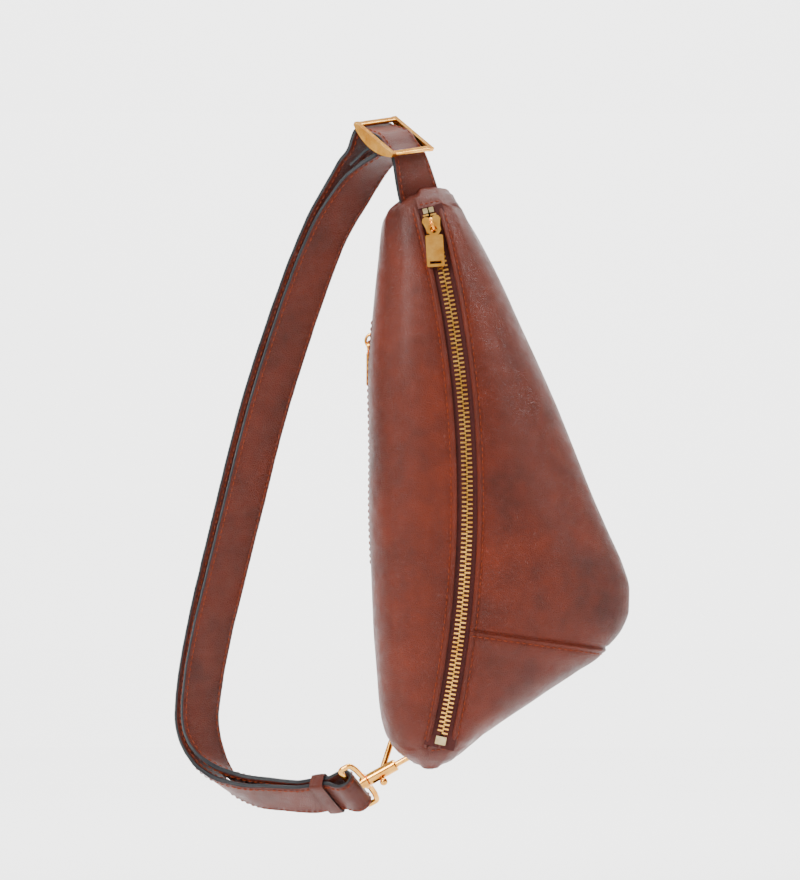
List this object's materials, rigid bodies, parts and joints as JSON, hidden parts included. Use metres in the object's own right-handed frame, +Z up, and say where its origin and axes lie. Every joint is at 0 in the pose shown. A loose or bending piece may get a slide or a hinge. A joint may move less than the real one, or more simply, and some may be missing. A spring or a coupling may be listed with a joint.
{
  "type": "sling bag",
  "caption": "Small leather sling bag: curved wedge pouch, bowed front zip, side pocket zip, doubled strap with slider buckle, keeper and swivel hook.",
  "frame": {"origin": "the point under the strap's crown where the bag hangs, in the plane of the flat back", "axes": "+Z up along the hanging bag, +Y out of the flat back, +X to the wide corner"},
  "size_m": [0.3058, 0.1315, 0.4698],
  "materials": {
    "bag_leather": "smooth cognac leather, satin",
    "strap_leather": "smooth cognac leather with dark painted edges",
    "lining_cloth": "plain woven cotton",
    "zip_tape": "dark red-brown woven tape",
    "zip_teeth": "polished brass",
    "zip_stops": "pale brushed brass",
    "gilt_zip": "polished gilt brass",
    "gilt_fittings": "satin gilt brass",
    "spring_steel": "bright drawn wire"
  },
  "bodies": {
    "root": {"back_panel": "bag_leather", "left_panel": "bag_leather", "front_panel": "bag_leather", "lower_panel": "bag_leather", "lining": "lining_cloth", "zip_tape_left": "zip_tape", "zip_tape_right": "zip_tape", "zip_teeth_left": "zip_teeth", "zip_teeth_right": "zip_teeth", "zip_top_stop": "zip_stops", "zip_bottom_stop": "zip_stops", "zip_end_tab_top": "bag_leather", "zip_end_tab_bottom": "bag_leather", "side_zip_tape_back": "zip_tape", "side_zip_teeth_back": "zip_teeth", "side_zip_tape_front": "zip_tape", "side_zip_teeth_front": "zip_teeth", "side_zip_stops": "zip_stops", "side_pocket_lining": "lining_cloth", "strap_bag_end": "strap_leather", "strap_outer_run": "strap_leather", "strap_inner_run": "strap_leather", "strap_bar_fold": "strap_leather", "strap_hook_fold": "strap_leather", "ring_tab": "bag_leather"},
    "main_slider": {"main_zip_slider": "gilt_zip"},
    "main_pull": {"main_zip_pull": "gilt_zip"},
    "side_slider": {"side_zip_slider": "gilt_zip"},
    "side_pull": {"side_zip_pull": "gilt_zip"},
    "eye": {"swivel_eye": "gilt_fittings"},
    "hook": {"hook_body": "gilt_fittings", "bolt_spring": "spring_steel"},
    "bolt": {"hook_bolt": "gilt_fittings"},
    "ring": {"d_ring": "gilt_fittings"},
    "keeper": {"strap_keeper": "strap_leather"},
    "buckle": {"strap_buckle": "gilt_fittings"}
  },
  "joints": [
    {"name": "main_zip_travel", "type": "hinge", "parent": "root", "child": "main_slider", "pos_m": [-0.30917, 0.30498, -0.24541], "axis": [0.7069, 0.7073, -0.0047], "range_deg": [0, 36.78], "deforming": ["zip_teeth_left", "zip_teeth_right"]},
    {"name": "main_pull_swing", "type": "hinge", "parent": "main_slider", "child": "main_pull", "pos_m": [0.03999, -0.04325, -0.06196], "axis": [-0.9692, -0.0327, -0.244], "range_deg": [0, 65]},
    {"name": "side_zip_travel", "type": "slide", "parent": "root", "child": "side_slider", "axis": [-0.0033, 0, -1], "range_m": [0, 0.1388], "deforming": ["side_zip_teeth_back", "side_zip_teeth_front"]},
    {"name": "side_pull_swing", "type": "hinge", "parent": "side_slider", "child": "side_pull", "pos_m": [0.00038, -0.0139, -0.1378], "axis": [0.2419, 0.9703, -0.0008], "range_deg": [0, 65]},
    {"name": "eye_swing", "type": "hinge", "parent": "root", "child": "eye", "pos_m": [-0.01232, 0.0085, -0.43643], "axis": [0.4501, 0.6602, -0.6013], "range_deg": [-2, 2]},
    {"name": "hook_swivel", "type": "hinge", "parent": "eye", "child": "hook", "pos_m": [0.0153, 0.004, -0.4207], "axis": [0.8603, -0.14, 0.4902], "range_deg": [-10, 1.5]},
    {"name": "bolt_slide", "type": "slide", "parent": "hook", "child": "bolt", "axis": [-0.8603, 0.14, -0.4902], "range_m": [0, 0.0055], "stiffness_N_per_m": 400, "springref_m": -0.003, "deforming": ["bolt_spring"]},
    {"name": "ring_swing", "type": "hinge", "parent": "root", "child": "ring", "pos_m": [0.03775, 0.00819, -0.39882], "axis": [-0.4951, 0, 0.8689], "range_deg": [-3, 4]},
    {"name": "keeper_slide", "type": "slide", "parent": "root", "child": "keeper", "axis": [-0.8734, 0.4656, -0.1425], "range_m": [0, 0.01]},
    {"name": "buckle_rock", "type": "hinge", "parent": "root", "child": "buckle", "pos_m": [0.01298, -0.00693, -0.00605], "axis": [0.704, 0.6952, 0.1455], "range_deg": [-2.5, 2.5]}
  ]
}
